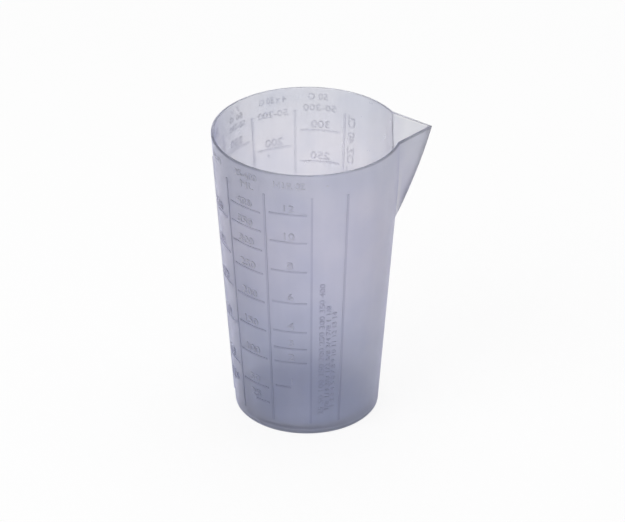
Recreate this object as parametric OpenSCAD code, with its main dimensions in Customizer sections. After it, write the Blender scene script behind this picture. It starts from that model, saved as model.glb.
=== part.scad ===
// Measuring cup: a tapered beaker moulded in one piece, with a pouring beak at the rim
// and dry and liquid scales raised on the outside of the wall.
// Millimetres. The cup stands on z = 0, its axis is Z and its beak points along +X.

/* [Body] */
// Outer diameter at the rim
rim_d = 81; // [74:0.5:100]
// Outer diameter that the tapered wall reaches at the resting plane
base_d = 62.4; // [54:0.2:70]
// Height of the rim above the resting plane
cup_h = 132; // [115:1:160]
// Thickness of the wall
wall = 1.1; // [0.8:0.1:2]
// Thickness of the floor
floor_t = 1.4; // [1:0.1:3]
// Radius between the wall and the floor, inside
inner_fillet = 3; // [1:0.5:6]
// Radius on both edges of the rim
rim_r = 0.4; // [0.1:0.05:0.5]

/* [Foot] */
// Depth of the hollow under the floor, just inside the foot ring
foot_h = 1.5; // [1:0.1:6]
// Thickness of the ring that the cup stands on
foot_wall = 2.4; // [2:0.1:4]
// Radius on the outer edge of the foot
foot_r = 1.2; // [0.3:0.1:1.5]
// Draft of the foot ring's inner side, over the depth of the hollow
foot_draft = 0.3; // [0:0.1:1]
// How far the middle of the floor is kicked up above its edge
floor_rise = 3.5; // [1:0.5:6]
// Diameter of the dished gate mark in the middle of the underside
gate_d = 9; // [5:0.5:14]
// Depth of the gate mark
gate_depth = 0.4; // [0.2:0.1:0.7]
// Width of the flat round the gate mark, up to where the floor slopes down
gate_rim = 1.5; // [0.5:0.5:4]
// Diameter of the gate's stub
gate_stub_d = 2; // [1:0.5:4]

/* [Beak] */
// How far the tip stands out from the rim
beak_reach = 12.6; // [8:0.2:20]
// How far below the rim the keel runs out into the wall
beak_depth = 45; // [25:0.5:70]
// Bearing on the rim at which each side of the beak leaves the wall, in degrees
beak_angle = 20.4; // [14:0.2:28]
// Outward bow of the keel and of both sides, between rim and run-out
beak_bow = 0.95; // [0.2:0.05:2]
// How far the sharp keel is cut back to its narrow flat
keel_cut = 0.3; // [0.1:0.05:1]

/* [Raised scales] */
// How far the rules and lines stand proud of the wall
relief = 0.35; // [0.2:0.05:0.8]
// Width of an upright rule
rule_w = 0.9; // [0.4:0.05:1.5]
// Width of a level line
line_w = 0.8; // [0.4:0.05:1.2]
// Distance from the rim down to the upper ends of the rules
rule_drop = 11; // [6:0.5:30]
// Height of the lower ends of the rules
rule_foot = 6; // [4:0.5:20]
// Bearings of the upright rules from the beak, in degrees
rule_bearings = [61.5, 93.5, 122.5, 151.5, 180.5, 208.5, 239, 269, 291.5]; // [40:0.5:320]
// Angle left free between a rule and the start of a line
line_lead = 3; // [2:0.5:8]
// Angle left free between the end of a line and the next rule
line_tail = 3; // [2:0.5:8]

/* [Fills] */
// Millilitres in the cup at each line of the coarse grain scale
grain_fills = [71, 136, 201, 266, 331, 396]; // [20:1:450]
// Millilitres in the cup at each line of the flour scale
flour_fills = [93, 183, 273, 363]; // [20:1:450]
// Millilitres in the cup at each line of the sugar scale
sugar_fills = [58, 114, 169, 224, 279, 335, 390]; // [20:1:450]
// Millilitres in the cup at each line of the centilitre scale
centilitre_fills = [54, 103, 153, 207, 263, 311, 352, 393]; // [20:1:450]
// Millilitres in the cup at each line of the pint scale, in eighths
pint_fills = [35, 71, 141, 209, 275, 347]; // [20:1:450]
// Millilitres in the cup at each line of the millilitre scale
millilitre_fills = [30, 54, 103, 153, 207, 263, 311, 352, 393]; // [20:1:450]
// Millilitres in the cup at each line of the ounce scale
ounce_fills = [62, 104, 129, 160, 215, 278, 339, 400]; // [20:1:450]

/* [Hidden] */
$fn = 144;
// Facets on the large circles that bow the beak's faces
bow_fn = 720;
// Straight steps in each rounded corner of the turned profiles
rim_steps = 3;
foot_steps = 3;
fillet_steps = 4;
// Material that shapes share where they are joined, and cutters run past a face
bite = 0.3;

rim_radius = rim_d / 2;
base_radius = base_d / 2;
taper = (rim_radius - base_radius) / cup_h;
floor_top = foot_h + floor_t;
// Radius at which the kicked-up floor meets the fillet, and radius of the flat in its middle
floor_edge_r = inner_r(floor_top + inner_fillet) - inner_fillet;
floor_flat_r = gate_d / 2 + gate_rim;
rule_top = cup_h - rule_drop;

// One scale in each space between two neighbouring rules; the last space stays free
scales = [grain_fills, flour_fills, sugar_fills, centilitre_fills,
          pint_fills, millilitre_fills, ounce_fills, []];

// Radius of the wall's outer and inner face at height z
function outer_r(z) = base_radius + taper * z;
function inner_r(z) = outer_r(z) - wall;

// Volume that the kicked-up floor takes from the inside
kick_volume = PI * floor_rise / 3
              * (pow(floor_edge_r, 2) + floor_edge_r * floor_flat_r + pow(floor_flat_r, 2));

// Height at which the inside holds v millilitres: the frustum over the floor's edge, turned
// round to give its height, once the kick's volume is added
function fill_height(v) =
    let (filled = 1000 * v + kick_volume)
        abs(taper) < 0.001
            ? floor_top + filled / (PI * pow(inner_r(floor_top), 2))
            : (pow(pow(inner_r(floor_top), 3) + 3 * taper * filled / PI, 1 / 3) - inner_r(0)) / taper;

// Points of a round corner of radius r about [x, z], from angle a to angle b
function corner(x, z, r, a, b, steps) =
    [for (i = [0:steps]) let (t = a + (b - a) * i / steps) [x + r * cos(t), z + r * sin(t)]];

// The beak's plan at the rim: a straight edge from the wall to the point of the beak
beak_x = rim_radius + beak_reach;
beak_start = [rim_radius * cos(beak_angle), rim_radius * sin(beak_angle)];
// Bearing that each side of the beak faces
beak_turn = atan2(beak_x - beak_start[0], beak_start[1]);
// Distance from the axis to the chord behind the beak, where its shapes end inside the cup
beak_back = beak_x * pow(cos(beak_turn), 2);
beak_foot = cup_h - beak_depth;

// Outside of the cup as a solid, from the foot's rounded edge to the rounded rim
module body_form() {
    rotate_extrude()
        polygon(concat(
            [[0, 0]],
            corner(outer_r(foot_r) - foot_r, foot_r, foot_r, -90, 0, foot_steps),
            corner(rim_radius - rim_r, cup_h - rim_r, rim_r, 0, 90, rim_steps),
            [[0, cup_h]]));
}

// Hollow of the cup, with the kicked-up floor, the fillet round it and a flare at the rim
module hollow_form() {
    rotate_extrude()
        polygon(concat(
            [[0, floor_top + floor_rise], [floor_flat_r, floor_top + floor_rise]],
            corner(floor_edge_r, floor_top + inner_fillet, inner_fillet, -90, 0, fillet_steps),
            corner(inner_r(cup_h) + rim_r, cup_h - rim_r, rim_r, 180, 90, rim_steps),
            [[inner_r(cup_h) + rim_r, cup_h + bite], [0, cup_h + bite]]));
}

// Hollow under the kicked-up floor, with the dish round the gate and the stub that hangs in it
module foot_hollow() {
    mouth_r = outer_r(0) - foot_wall;
    gate_z = foot_h + floor_rise;
    rotate_extrude()
        polygon([[0, -bite], [mouth_r, -bite], [mouth_r, 0],
                 [mouth_r - foot_draft, foot_h], [floor_flat_r, gate_z],
                 [gate_d / 2, gate_z], [gate_d / 2, gate_z + gate_depth],
                 [gate_stub_d / 2, gate_z + gate_depth],
                 [gate_stub_d / 2, gate_z - gate_depth], [0, gate_z - gate_depth]]);
}

// One face of the beak, as a solid that fills everything behind it. The face is upright in
// plan, looks towards bearing `turn`, and leans and bows with the keel. `depth` sets it back.
module beak_side(turn, depth) {
    head = [beak_x * cos(turn), cup_h];
    foot = [outer_r(beak_foot) * cos(turn), beak_foot];
    run = head - foot;
    bow_r = (run * run / 4 + beak_bow * beak_bow) / (2 * beak_bow);
    outward = [run[1], -run[0]] / norm(run);
    centre = (head + foot) / 2 - outward * (bow_r - beak_bow);
    rotate([0, 0, turn])
        rotate([90, 0, 0])
            linear_extrude(height = 4 * rim_radius, center = true)
                intersection() {
                    translate(centre)
                        circle(r = bow_r - depth, $fn = bow_fn);
                    translate([-rim_radius, beak_foot - beak_depth / 2])
                        square([2 * beak_x + rim_radius, 2 * beak_depth]);
                }
}

// The beak's two sides, set in by `depth`, meeting in a sharp keel and cut level at `top`
module beak_wedge(depth, top) {
    intersection() {
        beak_side(beak_turn, depth);
        beak_side(-beak_turn, depth);
        translate([beak_back, -rim_radius, 0])
            cube([beak_x, 2 * rim_radius, top]);
    }
}

// Outside of the beak, with the sharp keel cut back to its narrow flat
module beak_form() {
    intersection() {
        beak_wedge(0, cup_h);
        beak_side(0, keel_cut);
    }
}

// Channel inside the beak, which opens through the wall into the cup
module beak_channel() {
    beak_wedge(wall, cup_h + bite);
}

// Thin skin over the wall, as high as the scales reach and as proud as they stand
module relief_skin() {
    rotate_extrude()
        polygon([[outer_r(rule_foot) - bite, rule_foot],
                 [outer_r(rule_foot) + relief, rule_foot],
                 [outer_r(rule_top) + relief, rule_top],
                 [outer_r(rule_top) - bite, rule_top]]);
}

// Upright rule at one bearing, as a block that the skin trims
module rule_block(bearing) {
    rotate([0, 0, bearing])
        translate([inner_r(0) / 2, -rule_w / 2, 0])
            cube([rim_radius, rule_w, cup_h]);
}

// Level line between two bearings at one height, as a sector that the skin trims
module line_block(from, to, z) {
    rotate([0, 0, from])
        rotate_extrude(angle = to - from)
            translate([inner_r(0) / 2, z - line_w / 2])
                square([rim_radius, line_w]);
}

// All lines of one scale. The lowest is half as long, at the start or the end of the others.
module scale_lines(fills, from, to, short_at_start) {
    middle = (from + to) / 2;
    for (i = [0:1:len(fills) - 1])
        let (z = fill_height(fills[i]))
            if (z > rule_foot + line_w && z < rule_top - line_w)
                line_block(i == 0 && !short_at_start ? middle : from,
                           i == 0 && short_at_start ? middle : to, z);
}

module raised_scales() {
    intersection() {
        relief_skin();
        union() {
            for (bearing = rule_bearings)
                rule_block(bearing);
            for (i = [0:len(rule_bearings) - 2])
                scale_lines(scales[i], rule_bearings[i] + line_lead,
                            rule_bearings[i + 1] - line_tail, i % 2 == 0);
        }
    }
}

module cup() {
    color([0.72, 0.72, 0.80, 0.6])
        difference() {
            union() {
                body_form();
                beak_form();
                raised_scales();
            }
            hollow_form();
            beak_channel();
            foot_hollow();
        }
}

cup();
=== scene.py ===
from math import cos, pi, radians, sin

import bmesh
import bpy
from mathutils import Matrix, Vector


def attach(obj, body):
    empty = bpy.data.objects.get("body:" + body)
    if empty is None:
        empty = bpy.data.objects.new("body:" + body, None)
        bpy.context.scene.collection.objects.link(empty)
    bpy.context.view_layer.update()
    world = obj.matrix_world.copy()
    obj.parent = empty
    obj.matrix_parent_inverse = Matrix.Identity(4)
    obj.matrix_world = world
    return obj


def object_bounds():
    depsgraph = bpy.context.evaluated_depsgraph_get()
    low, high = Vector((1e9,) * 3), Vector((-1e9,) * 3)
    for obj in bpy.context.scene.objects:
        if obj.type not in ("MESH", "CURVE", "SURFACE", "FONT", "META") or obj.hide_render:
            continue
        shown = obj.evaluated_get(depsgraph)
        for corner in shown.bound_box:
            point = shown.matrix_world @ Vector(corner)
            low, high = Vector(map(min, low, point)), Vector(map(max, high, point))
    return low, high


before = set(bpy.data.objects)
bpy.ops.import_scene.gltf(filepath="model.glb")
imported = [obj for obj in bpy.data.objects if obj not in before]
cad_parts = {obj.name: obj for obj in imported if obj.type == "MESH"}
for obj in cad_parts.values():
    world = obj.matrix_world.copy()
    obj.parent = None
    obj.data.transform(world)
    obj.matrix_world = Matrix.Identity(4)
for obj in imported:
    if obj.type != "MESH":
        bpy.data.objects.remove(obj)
cad_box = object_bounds()

# Camera
# A long lens about 1.5 m away looks down at the cup by 30 degrees. The beak points to the
# right and a few degrees away from the viewer.
VIEW_BEARING = radians(-94.2)
VIEW_TILT = radians(29.92)
VIEW_ROLL = radians(0.093)
VIEW_DISTANCE = 1.505
LENS = 201.6
SENSOR_WIDTH = 36
AIM_HEIGHT = 0.0685
AIM_SIDEWAYS = 0.0024

sideways = Vector((-sin(VIEW_BEARING), cos(VIEW_BEARING), 0))
towards_viewer = Vector((cos(VIEW_BEARING) * cos(VIEW_TILT),
                         sin(VIEW_BEARING) * cos(VIEW_TILT),
                         sin(VIEW_TILT)))
aim = sideways * AIM_SIDEWAYS + Vector((0, 0, AIM_HEIGHT))
roll = Matrix.Rotation(VIEW_ROLL, 3, "Z").to_quaternion()
camera_data = bpy.data.cameras.new("camera")
camera_data.lens = LENS
camera_data.sensor_width = SENSOR_WIDTH
camera = bpy.data.objects.new("camera", camera_data)
camera.location = aim + towards_viewer * VIEW_DISTANCE
camera.rotation_euler = (towards_viewer.to_track_quat("Z", "Y") @ roll).to_euler()
bpy.context.scene.collection.objects.link(camera)
bpy.context.scene.camera = camera

# Moulded cup
# The whole cup is one thin shot of milky polypropylene. It comes out of its mould with a finely
# blasted outside, a smoother inside, and the rules and lines of its scales standing proud.
MM = 0.001
RIM_RADIUS = -cad_box[0][0]
CUP_HEIGHT = cad_box[1][2]
BASE_RADIUS = 31.2 * MM
WALL = 1.1 * MM
TAPER = (RIM_RADIUS - BASE_RADIUS) / CUP_HEIGHT

# Tones of the plastic by share of the cup's height, a little darker again at the rim. Towards the
# foot they are darker and bluer: partly the plastic's own tone and partly painted shade of the deep
# lower part of the cup.
TONES_AND_SHADE = {
    0.0: (0.74, 0.77, 0.89, 1),
    0.30: (0.79, 0.80, 0.90, 1),
    0.62: (0.90, 0.88, 0.96, 1),
    0.84: (0.89, 0.88, 0.95, 1),
    1.0: (0.82, 0.83, 0.89, 1),
}

# Soft clouds and upright streaks that the flow leaves: how fine, from where and how strong
CLOUD_FINENESS = 52
CLOUD_RANGE = (0.42, 0.62, 0.0, 0.28)
CLOUD_TINT = (0.74, 0.79, 0.88, 1)
STREAK_FINENESS = (260, 260, 14)
STREAK_RANGE = (0.35, 0.7, 0.0, 0.10)
STREAK_TINT = (0.60, 0.60, 0.66, 1)

# Tints of the raised lines, of thick places with painted shade, and of the painted shade on one
# side, and the colour of clear places and painted light
LINE_STRENGTH = 0.42
LINE_TINT = (0.42, 0.42, 0.50, 1)
THICK_AND_SHADE_TINT = (0.20, 0.21, 0.27, 1)
SIDE_SHADE_TINT = (0.83, 0.84, 0.86, 1)
CLEAR_AND_LIT_COLOUR = (0.97, 0.97, 0.98, 1)

# The blasted outside is rougher and has more grain than the polished inside
GRAIN_FINENESS = 3200
GRAIN_INSIDE = 0.15
GRAIN_DEPTH = 0.05 * MM
GRAIN_STRENGTH = 0.25
WEAR_FINENESS = 160
WEAR_RANGE = (0.3, 0.7)
BLASTED_ROUGHNESS = (0.34, 0.42)
POLISHED_ROUGHNESS = (0.27, 0.33)


class Graph:
    """Places the nodes of one material or node group and joins them up."""

    def __init__(self, tree):
        self.tree = tree

    def add(self, kind, *sources, **settings):
        node = self.tree.nodes.new(kind)
        for name, value in settings.items():
            setattr(node, name, value)
        self.feed(node, *sources)
        return node

    def feed(self, node, *sources):
        for socket, source in sources:
            if isinstance(source, bpy.types.NodeSocket):
                self.tree.links.new(source, node.inputs[socket])
            else:
                node.inputs[socket].default_value = source

    def place(self):
        return self.add("ShaderNodeTexCoord").outputs["Object"]

    def axes(self, place):
        return self.add("ShaderNodeSeparateXYZ", ("Vector", place)).outputs

    def maths(self, operation, first, second=0.0, third=0.0):
        node = self.add("ShaderNodeMath", (0, first), (1, second), (2, third), operation=operation)
        return node.outputs[0]

    def product(self, value, *others):
        for other in others:
            value = self.maths("MULTIPLY", value, other)
        return value

    def highest(self, value, *others):
        for other in others:
            value = self.maths("MAXIMUM", value, other)
        return value

    def spread(self, value, low, high, to_low=0.0, to_high=1.0, kind="LINEAR"):
        node = self.add("ShaderNodeMapRange", ("Value", value), ("From Min", low), ("From Max", high),
                        ("To Min", to_low), ("To Max", to_high), interpolation_type=kind)
        return node.outputs["Result"]

    def where(self, *spreads):
        """A mask that is full only where all of its spreads have come to their end."""
        return self.product(*[self.spread(*spread) for spread in spreads])

    def noise(self, coordinates, scale, detail=4.0, roughness=0.5):
        node = self.add("ShaderNodeTexNoise", ("Vector", coordinates), ("Scale", scale),
                        ("Detail", detail), ("Roughness", roughness))
        return node.outputs["Fac"]

    def blend(self, amount, first, second, kind="MIX"):
        node = self.add("ShaderNodeMix", ("Factor", amount), (6, first), (7, second),
                        data_type="RGBA", blend_type=kind)
        return node.outputs[2]


def moulded_plastic():
    """Colour, roughness and surface height of the plastic, as deep in tone as its masks say, with the
    painted shade and painted light that they carry.
    """
    group = bpy.data.node_groups.new("moulded_plastic", "ShaderNodeTree")
    for name in ("Raised", "Thick_and_shaded", "Outside", "Side_shade", "Clear_and_lit"):
        mask = group.interface.new_socket(name, in_out="INPUT", socket_type="NodeSocketFloat")
        mask.default_value = 1.0
    for name, kind in (("Color", "Color"), ("Roughness", "Float"), ("Height", "Float")):
        group.interface.new_socket(name, in_out="OUTPUT", socket_type="NodeSocket" + kind)
    graph = Graph(group)
    given = graph.add("NodeGroupInput").outputs
    place = graph.place()

    share_of_height = graph.spread(graph.axes(place)["Z"], 0.0, CUP_HEIGHT)
    tones = graph.add("ShaderNodeValToRGB", ("Fac", share_of_height))
    tones.color_ramp.interpolation = "B_SPLINE"
    stops = tones.color_ramp.elements
    for share in list(TONES_AND_SHADE)[1:-1]:
        stops.new(share)
    for stop, tone in zip(stops, TONES_AND_SHADE.values()):
        stop.color = tone

    clouds = graph.spread(graph.noise(place, CLOUD_FINENESS), *CLOUD_RANGE)
    stretched = graph.add("ShaderNodeMapping", ("Vector", place), ("Scale", STREAK_FINENESS))
    streaks = graph.spread(graph.noise(stretched.outputs["Vector"], 1.0), *STREAK_RANGE)
    lines = graph.product(given["Raised"], LINE_STRENGTH)
    colour = tones.outputs["Color"]
    # Painted shade comes in through the thick-and-shaded and side shade masks, and painted light
    # through the clear-and-lit mask
    for amount, tint in ((clouds, CLOUD_TINT), (streaks, STREAK_TINT), (lines, LINE_TINT),
                         (given["Thick_and_shaded"], THICK_AND_SHADE_TINT), (given["Side_shade"], SIDE_SHADE_TINT)):
        colour = graph.blend(amount, colour, tint, kind="MULTIPLY")
    colour = graph.blend(given["Clear_and_lit"], colour, CLEAR_AND_LIT_COLOUR)

    wear = graph.noise(place, WEAR_FINENESS)
    blasted = graph.spread(wear, *WEAR_RANGE, *BLASTED_ROUGHNESS)
    polished = graph.spread(wear, *WEAR_RANGE, *POLISHED_ROUGHNESS)
    roughness = graph.spread(given["Outside"], 0.0, 1.0, polished, blasted)
    grain = graph.noise(place, GRAIN_FINENESS, detail=3.0, roughness=0.6)
    height = graph.product(grain, graph.spread(given["Outside"], 0.0, 1.0, GRAIN_INSIDE, 1.0))
    graph.add("NodeGroupOutput", ("Color", colour), ("Roughness", roughness), ("Height", height))
    return group


plastic_group = moulded_plastic()


def plastic_material(name):
    """Milky plastic, whose masks stay at 1 unless something is joined to them."""
    material = bpy.data.materials.new(name)
    material.use_nodes = True
    graph = Graph(material.node_tree)
    surface = graph.add("ShaderNodeGroup", node_tree=plastic_group)
    bump = graph.add("ShaderNodeBump", ("Height", surface.outputs["Height"]),
                     ("Strength", GRAIN_STRENGTH), ("Distance", GRAIN_DEPTH))
    graph.feed(material.node_tree.nodes["Principled BSDF"],
               ("Base Color", surface.outputs["Color"]),
               ("Roughness", surface.outputs["Roughness"]),
               ("Normal", bump.outputs["Normal"]),
               ("IOR", 1.49), ("Transmission Weight", 0.96),
               ("Sheen Weight", 0.6), ("Sheen Roughness", 0.4), ("Sheen Tint", (0.72, 0.72, 1, 1)))
    return material, graph, surface


# Measures of a point of the wall: towards the beak, towards the back, up, out from the axis,
# and how far it stands proud of the plain taper
wall_plastic, wall, wall_surface = plastic_material("cup_wall")
beakward, backward, height = wall.axes(wall.place())
off_middle = wall.maths("ABSOLUTE", beakward)
off_keel = wall.maths("ABSOLUTE", backward)
squares = wall.maths("ADD", wall.product(beakward, beakward), wall.product(backward, backward))
radius = wall.maths("SQRT", squares)
proud = wall.maths("SUBTRACT", radius, wall.maths("MULTIPLY_ADD", height, TAPER, BASE_RADIUS))


def facing(bearing):
    """How squarely a point of the wall faces a bearing, as the cosine of the turn between them."""
    across = wall.product(beakward, cos(bearing))
    return wall.maths("DIVIDE", wall.maths("MULTIPLY_ADD", backward, sin(bearing), across), radius)


# Each range below starts where its mask is empty and ends where it is full. Two more numbers,
# where given, are what the mask is at the start and at the end.
# The rules and lines stand proud where the wall doesn't face the beak's bearing too squarely.
BEAK_BEARING = 0
BEAK_SIDE = 0.8
LINE_FACE = (0.05 * MM, 0.3 * MM)
OUTER_SKIN = (-0.7 * WALL, -0.3 * WALL)

off_beak = wall.maths("LESS_THAN", facing(BEAK_BEARING), BEAK_SIDE)
raised_places = wall.product(wall.spread(proud, *LINE_FACE, kind="SMOOTHSTEP"), off_beak)
outside = wall.spread(proud, *OUTER_SKIN)

# The plastic is thickest in the keel and the beak's tip, so they are deeper in tone. The foot ring is
# darker with painted shade of the cup's own shadow at its foot, and partly for its thicker plastic.
# The rim's edge has a painted dark line, strongest in front and at both ends, and the foot on one
# side has painted shade.
KEEL_SIDES = (1.3 * MM, 0.5 * MM)
KEEL_START = (0.5 * MM, 2 * MM)
TIP_REACH = (RIM_RADIUS + 11 * MM, RIM_RADIUS + 11.5 * MM)
TIP_LEVEL = (CUP_HEIGHT - 4 * MM, CUP_HEIGHT - 2 * MM)
FOOT_RING_SHADE = (2.4 * MM, 1.6 * MM, 0, 0.55)
RIM_EDGE = (CUP_HEIGHT - 1.2 * MM, CUP_HEIGHT - 0.4 * MM)
RIM_SHADE_ENDS = (0.3 * RIM_RADIUS, 0.95 * RIM_RADIUS, 0.1, 0.9)
RIM_SHADE_FRONT = (0.12 * RIM_RADIUS, -0.12 * RIM_RADIUS, 0.12, 1)
RIM_KEENNESS = (0, 0.3 * RIM_RADIUS, 1, 8)
FOOT_SHADE_BEARING = radians(205)
FOOT_SHADE_SIDE = (0.96, 0.995)
FOOT_SHADE_LEVEL = (0.26 * CUP_HEIGHT, 0.12 * CUP_HEIGHT, 0, 0.24)

keel = wall.where((off_keel, *KEEL_SIDES), (proud, *KEEL_START))
tip = wall.where((beakward, *TIP_REACH), (height, *TIP_LEVEL))
foot_ring_shade = wall.where((height, *FOOT_RING_SHADE))
front_turn = wall.product(backward, wall.spread(beakward, *RIM_KEENNESS))
rim = wall.where((height, *RIM_EDGE), (off_middle, *RIM_SHADE_ENDS), (front_turn, *RIM_SHADE_FRONT))
shaded_foot = wall.where((facing(FOOT_SHADE_BEARING), *FOOT_SHADE_SIDE), (height, *FOOT_SHADE_LEVEL))
thick_and_shaded_places = wall.highest(keel, tip, foot_ring_shade, rim, shaded_foot)

# Painted light: the beak's faces, the edge of its back face and the lines where it leaves the wall
# are painted lighter, the lines as a painted highlight.
FACE_START = (0.5 * MM, 3 * MM)
FACE_LEVEL = (CUP_HEIGHT - 28 * MM, CUP_HEIGHT - 12 * MM, 0, 0.4)
BACK_FACE = (0.2 * MM, 0.8 * MM)
FRONT_FACE_SHARE = 0.6
BACK_EDGE = (-1 * MM, 1 * MM)
JOINT_START = (0.05 * MM, 0.2 * MM)
JOINT_END = (1.5 * MM, 0.9 * MM)
JOINT_REACH = (0.85 * RIM_RADIUS, 0.9 * RIM_RADIUS)
JOINT_LEVEL = (CUP_HEIGHT - 12 * MM, CUP_HEIGHT - 25 * MM, 0, 0.9)

faces = wall.where((height, *FACE_LEVEL), (proud, *FACE_START),
                   (backward, *BACK_FACE, FRONT_FACE_SHARE, 1))
lit_back_edge = wall.where((height, *RIM_EDGE), (backward, *BACK_FACE), (proud, *BACK_EDGE))
joint_highlight = wall.where((proud, *JOINT_START), (proud, *JOINT_END),
                   (beakward, *JOINT_REACH), (height, *JOINT_LEVEL))
painted_light_places = wall.highest(faces, lit_back_edge, joint_highlight)

# Painted shade: the wall is darker at one bearing, less so near the foot, though hardly right
# opposite the beak. The upper part of the front has a little painted shade too.
SIDE_SHADE_BEARING = radians(222)
SIDE_SHADE_WIDTH = (0.55, 1)
SIDE_SHADE_LEVEL = (0.08 * CUP_HEIGHT, 0.3 * CUP_HEIGHT, 0.25, 1)
OPPOSITE_BEAK = radians(180)
OPPOSITE_SIDE = (0.98, 0.89, 0.2, 1)
UPPER_FRONT_SHADE = (0.6 * CUP_HEIGHT, 0.8 * CUP_HEIGHT, 0, 0.15)

shaded_side = wall.where((facing(SIDE_SHADE_BEARING), *SIDE_SHADE_WIDTH), (height, *SIDE_SHADE_LEVEL),
                        (facing(OPPOSITE_BEAK), *OPPOSITE_SIDE))
upper_front_shade = wall.product(wall.maths("LESS_THAN", backward, 0.0), wall.spread(height, *UPPER_FRONT_SHADE))
side_shade_places = wall.highest(shaded_side, upper_front_shade)

# The wall's masks carry painted shade and painted light into its colour
wall.feed(wall_surface, ("Raised", raised_places), ("Thick_and_shaded", thick_and_shaded_places), ("Outside", outside),
          ("Side_shade", side_shade_places), ("Clear_and_lit", painted_light_places))
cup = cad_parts["cup"]
cup.data.materials.clear()
cup.data.materials.append(wall_plastic)

# Numbers on the scales
# Each line has its number moulded above it, at the height to which that much fills the cup. The
# numbers are cut into the mould's cavity, so they are of the same plastic and read from outside.
FLOOR_TOP = 2.9 * MM
FLOOR_RISE = 3.5 * MM
FLOOR_EDGE_RADIUS = 27.5 * MM
FLOOR_FLAT_RADIUS = 6 * MM
MILLILITRE = 1000 * MM ** 3

NUMBER_RELIEF = 0.16 * MM
RELIEFS = {"pint_numbers": 0.4 * MM, "millilitre_numbers": 0.3 * MM}
SUNK = 0.06 * MM
NUMBER_HEIGHT = 3.5 * MM
NUMBER_LIFT = 1.4 * MM

# The font's capitals are FONT_HEIGHT high at size 1, and the numbers are wider than the font by
# WIDEN. The rounding and the swelling of a stroke are shares of the letter's height.
FONT_HEIGHT = 0.729
WIDEN = 1.2
EDGE_ROUND = 0.022
SWELL = 0.018

# Steps in a letter's curves and in its rounded edge, how near points are welded, and the angle
# from which an edge stays sharp
CURVE_STEPS = 3
EDGE_STEPS = 1
WELD = 0.002 * MM
SHARP_EDGE = radians(40)

# Each scale has the bearing of its numbers in degrees, the millilitres in the cup at each line,
# and what the number there says
METRIC_FILLS = [30, 54, 103, 153, 207, 263, 311, 352, 393]
SCALES = {
    "grain_numbers": (77.2, [71, 136, 201, 266, 331, 396], ["50", "100", "150", "200", "250", "300"]),
    "flour_numbers": (107.6, [93, 183, 273, 363], ["50", "100", "150", "200"]),
    "sugar_numbers": (137.4, [58, 114, 169, 224, 279, 335, 390],
                      ["50", "100", "150", "200", "250", "300", "350"]),
    "centilitre_numbers": (166.5, METRIC_FILLS[1:], ["5", "10", "15", "20", "25", "30", "35", "40"]),
    "pint_numbers": (193.5, [35, 71, 141, 209, 275, 347], ["1/16", "1/8", "1/4", "3/8", "1/2", "5/8"]),
    "millilitre_numbers": (223.6, METRIC_FILLS,
                           ["25", "50", "100", "150", "200", "250", "300", "350", "400"]),
    "ounce_numbers": (254.8, [62, 104, 129, 160, 215, 278, 339, 400],
                      ["1", "2", "3", "4", "6", "8", "10", "12"]),
}

# Marks are clearer than the wall, but less so over the foot, where they take on the wall's painted
# shade. Two pieces are deeper all the way.
MARK_LEVELS = (0.15 * CUP_HEIGHT, 0.45 * CUP_HEIGHT)
DEEP_PIECES = ("pint_numbers", "small_print")


def mark_material(name, tint, low_bare, high_bare):
    """The cup's plastic for raised marks, with their share of the tint that the lines have."""
    material, graph, surface = plastic_material(name)
    bare = graph.spread(graph.axes(graph.place())["Z"], *MARK_LEVELS, low_bare, high_bare)
    graph.feed(surface, ("Raised", tint), ("Thick_and_shaded", 0.0), ("Side_shade", 0.0), ("Clear_and_lit", bare))
    return material


mark_plastic = mark_material("raised_marks", tint=0.06, low_bare=0.25, high_bare=0.8)
deep_plastic = mark_material("deep_marks", tint=0.6, low_bare=0.2, high_bare=0.2)


def outer_radius(level):
    return BASE_RADIUS + TAPER * level


def fill_height(millilitres):
    """Height at which the inside holds that much, over the floor that is kicked up."""
    floor_radius = outer_radius(FLOOR_TOP) - WALL
    kick = pi * FLOOR_RISE / 3 * (FLOOR_EDGE_RADIUS ** 2 + FLOOR_EDGE_RADIUS * FLOOR_FLAT_RADIUS
                                  + FLOOR_FLAT_RADIUS ** 2)
    filled = millilitres * MILLILITRE + kick
    surface_radius = (floor_radius ** 3 + 3 * TAPER * filled / pi) ** (1 / 3)
    return (surface_radius - (BASE_RADIUS - WALL)) / TAPER


def stamped_text(words, height, width=None, upwards=False, relief=NUMBER_RELIEF):
    """A flat mesh of raised text, centred on its foot, or on its middle where it runs upwards."""
    curve = bpy.data.curves.new("lettering", "FONT")
    curve.body = words
    curve.align_x = "CENTER"
    curve.size = height / FONT_HEIGHT
    curve.resolution_u = CURVE_STEPS
    curve.extrude = (relief + SUNK) / 2 - EDGE_ROUND * height
    curve.bevel_depth = EDGE_ROUND * height
    curve.bevel_resolution = EDGE_STEPS
    curve.offset = (SWELL - EDGE_ROUND) * height
    text = bpy.data.objects.new("lettering", curve)
    bpy.context.scene.collection.objects.link(text)
    bpy.context.view_layer.update()
    depsgraph = bpy.context.evaluated_depsgraph_get()
    mesh = bpy.data.meshes.new_from_object(text.evaluated_get(depsgraph))
    bpy.data.objects.remove(text)
    bpy.data.curves.remove(curve)
    left = min(vert.co.x for vert in mesh.vertices)
    right = max(vert.co.x for vert in mesh.vertices)
    stretch = width / (right - left) if width else WIDEN
    mesh.transform(Matrix.Diagonal((stretch, 1, 1, 1))
                   @ Matrix.Translation((-(left + right) / 2, 0, (relief - SUNK) / 2)))
    if upwards:
        mesh.transform(Matrix.Rotation(pi / 2, 4, "Z") @ Matrix.Translation((0, -height / 2, 0)))
    return mesh


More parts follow.
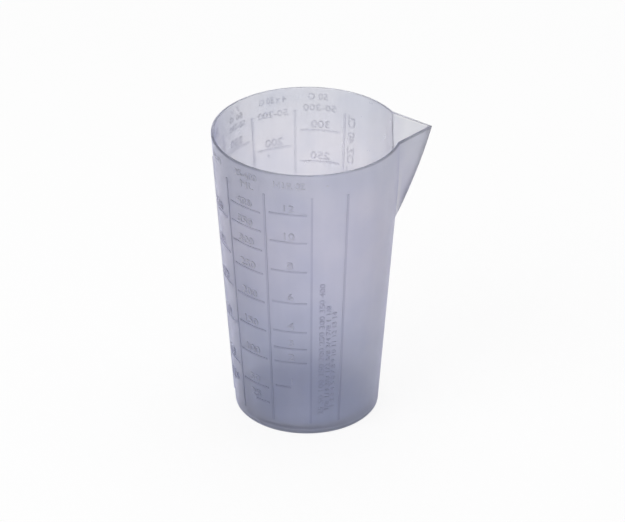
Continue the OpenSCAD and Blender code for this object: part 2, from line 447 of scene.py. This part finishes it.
def press_on_wall(target, mesh, bearing, level):
    """Adds a flat mesh to a bmesh, bent round the outside of the wall at that bearing."""
    part = bmesh.new()
    part.from_mesh(mesh)
    bpy.data.meshes.remove(mesh)
    bmesh.ops.remove_doubles(part, verts=part.verts, dist=WELD)
    for vert in part.verts:
        across, up, out = vert.co
        wall_radius = outer_radius(level + up)
        turn = radians(bearing) + across / wall_radius
        reach = wall_radius + out
        vert.co = (reach * cos(turn), reach * sin(turn), level + up)
    bent = bpy.data.meshes.new("bent")
    part.to_mesh(bent)
    part.free()
    target.from_mesh(bent)
    bpy.data.meshes.remove(bent)


def mark_piece(name, stamps):
    """Makes a piece of the cup from flat meshes, each with its bearing and its level."""
    marks = bmesh.new()
    for stamp, bearing, level in stamps:
        press_on_wall(marks, stamp, bearing, level)
    mesh = bpy.data.meshes.new(name)
    marks.to_mesh(mesh)
    marks.free()
    mesh.shade_smooth()
    mesh.set_sharp_from_angle(angle=SHARP_EDGE)
    mesh.materials.append(deep_plastic if name in DEEP_PIECES else mark_plastic)
    piece = bpy.data.objects.new(name, mesh)
    bpy.context.scene.collection.objects.link(piece)
    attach(piece, "root")


for name, (bearing, fills, labels) in SCALES.items():
    relief = RELIEFS.get(name, NUMBER_RELIEF)
    mark_piece(name, [(stamped_text(label, NUMBER_HEIGHT, relief=relief), bearing,
                       fill_height(fill) + NUMBER_LIFT) for fill, label in zip(fills, labels)])

# Headings over the scales
# Over each column stands a heading with its unit and its range or step, in the same plastic. The
# letters are cut about as deep as most numbers, and each row is set to the width of its column.
HEADING_RELIEF = 0.15 * MM

# Each row has its words, its bearing in degrees, and its level, height and width in millimetres
HEADINGS = {
    "grain_heading": [("50 G", 79.0, 126.1, 3.0, 8.6), ("50-300", 77.7, 121.0, 3.0, 14.6)],
    "flour_heading": [("4 x 50 G", 108.0, 125.6, 3.0, 12.4), ("50-200", 108.2, 119.2, 3.0, 14.0)],
    "sugar_heading": [("7 x", 137.0, 127.2, 2.6, 6.4), ("50 G", 136.4, 123.4, 2.6, 8.4),
                      ("50-350", 136.0, 119.3, 2.6, 10.4)],
    "centilitre_heading": [("5-40 CL", 166.5, 124.6, 3.0, 11.0)],
    "pint_heading": [("1/8 PT", 195.5, 124.6, 3.0, 10.0)],
    "millilitre_heading": [("25-400", 225.8, 125.7, 3.2, 12.0), ("ML", 226.8, 121.1, 3.2, 7.0)],
    "ounce_heading": [("1-12 FL OZ", 255.2, 125.3, 3.1, 13.6)],
}

for name, rows in HEADINGS.items():
    mark_piece(name, [(stamped_text(words, high * MM, wide * MM, relief=HEADING_RELIEF),
                       bearing, level * MM) for words, bearing, level, high, wide in rows])

# Lettering that runs up the wall
# One tall row beside the first rule and three rows of small print beside the last one run
# upwards. They are plain numbers and units, cut into the mould like the rest.

# Each row has its words, its bearing in degrees, and its level, height, length and relief in
# millimetres
UPRIGHT_ROWS = {
    "tall_row": [("400 ML 12 FL OZ 40 CL", 56.2, 93.5, 3.5, 56, 0.1)],
    "small_print": [("25 50 100 150 200 250 300 350 400", 276.3, 44, 2.4, 68, 0.13),
                    ("1/8 1/4 3/8 1/2 5/8 3/4 7/8 1 1/8", 281.0, 39.5, 2.0, 54, 0.25),
                    ("1 2 3 4 5 6 7 8 9 10 11 12 13 14", 285.2, 38.5, 2.0, 49, 0.25)],
}

for name, rows in UPRIGHT_ROWS.items():
    mark_piece(name, [(stamped_text(words, high * MM, long * MM, upwards=True, relief=relief * MM),
                       bearing, level * MM) for words, bearing, level, high, long, relief in rows])

# Pips of the mould
# A few round pips stand on the wall where the mould's maker drilled it: three beside the beak,
# one under a line of the second scale and one beside the last heading.
PIP_RADIUS = 0.5 * MM
PIP_RELIEF = 0.18 * MM
PIP_EDGE = 0.15 * MM
PIP_SIDES = 20

# Each pip has its bearing in degrees and its level in millimetres
PIPS = [(25.5, 123.0), (23.8, 118.2), (22.9, 114.4), (112.0, 101.4), (278.1, 126.5)]


def flat_pip():
    """A flat mesh of one pip, a disc with a sloping edge."""
    pip = bmesh.new()
    bmesh.ops.create_cone(pip, cap_ends=True, segments=PIP_SIDES, radius1=PIP_RADIUS,
                          radius2=PIP_RADIUS - PIP_EDGE, depth=PIP_RELIEF + SUNK,
                          matrix=Matrix.Translation((0, 0, (PIP_RELIEF - SUNK) / 2)))
    disc = bpy.data.meshes.new("pip")
    pip.to_mesh(disc)
    pip.free()
    return disc


mark_piece("mould_pips", [(flat_pip(), bearing, level * MM) for bearing, level in PIPS])

# Floor, light and background
# A white table top and a soft, even studio light. What the camera sees of the table and the
# surroundings is near white, and the table keeps the cup's soft shadow.
WHITE = (1, 1, 1, 1)
FLOOR_SIZE = 3.0
FLOOR_COLOUR = (0.8, 0.8, 0.8, 1)

# Strength of the sky as a light, the floor's share of plain white where it is seen, and how much
# of the white sky and floor shows through the plastic
AMBIENT = 0.55
FLOOR_GLOW = 0.88
SKY_THROUGH_PLASTIC = 0.65
GLOW_THROUGH_PLASTIC = 0.25

scene = bpy.context.scene
scene.view_settings.view_transform = "Standard"


def seen_directly(graph, through_plastic):
    """1 for the camera's rays, and a share of it for rays off or through something shiny."""
    path = graph.add("ShaderNodeLightPath").outputs
    shiny = graph.highest(path["Is Glossy Ray"], path["Is Transmission Ray"])
    return graph.highest(path["Is Camera Ray"], graph.product(shiny, through_plastic))


world = bpy.data.worlds.new("studio")
world.use_nodes = True
scene.world = world
sky = Graph(world.node_tree)
sky_strength = sky.spread(seen_directly(sky, SKY_THROUGH_PLASTIC), 0, 1, AMBIENT, 1.0)
sky.feed(world.node_tree.nodes["Background"], ("Color", WHITE), ("Strength", sky_strength))

floor_paint = bpy.data.materials.new("floor")
floor_paint.use_nodes = True
floor_paint.node_tree.nodes.remove(floor_paint.node_tree.nodes["Principled BSDF"])
table_top = Graph(floor_paint.node_tree)
matt = table_top.add("ShaderNodeBsdfDiffuse", ("Color", FLOOR_COLOUR))
glow = table_top.add("ShaderNodeEmission", ("Strength", 1.0))
glow_share = table_top.product(seen_directly(table_top, GLOW_THROUGH_PLASTIC), FLOOR_GLOW)
both = table_top.add("ShaderNodeMixShader", (0, glow_share), (1, matt.outputs[0]), (2, glow.outputs[0]))
table_top.feed(floor_paint.node_tree.nodes["Material Output"], ("Surface", both.outputs[0]))

floor_mesh = bpy.data.meshes.new("floor")
floor_shape = bmesh.new()
bmesh.ops.create_grid(floor_shape, x_segments=1, y_segments=1, size=FLOOR_SIZE)
floor_shape.to_mesh(floor_mesh)
floor_shape.free()
floor_mesh.materials.append(floor_paint)
floor = bpy.data.objects.new("floor", floor_mesh)
scene.collection.objects.link(floor)


def soft_lamp(name, place, size, power):
    """A square lamp that faces the middle of the cup."""
    data = bpy.data.lights.new(name, "AREA")
    data.energy = power
    data.size = size
    lamp = bpy.data.objects.new(name, data)
    lamp.location = place
    towards = Vector(place) - Vector((0, 0, CUP_HEIGHT / 2))
    lamp.rotation_euler = towards.to_track_quat("Z", "Y").to_euler()
    scene.collection.objects.link(lamp)


soft_lamp("key", (-0.7, -0.5, 0.9), size=0.7, power=6)
soft_lamp("side", (0.9, 0.1, 0.5), size=0.5, power=0.9)
soft_lamp("top", (0.1, 0.3, 1.2), size=0.9, power=5)
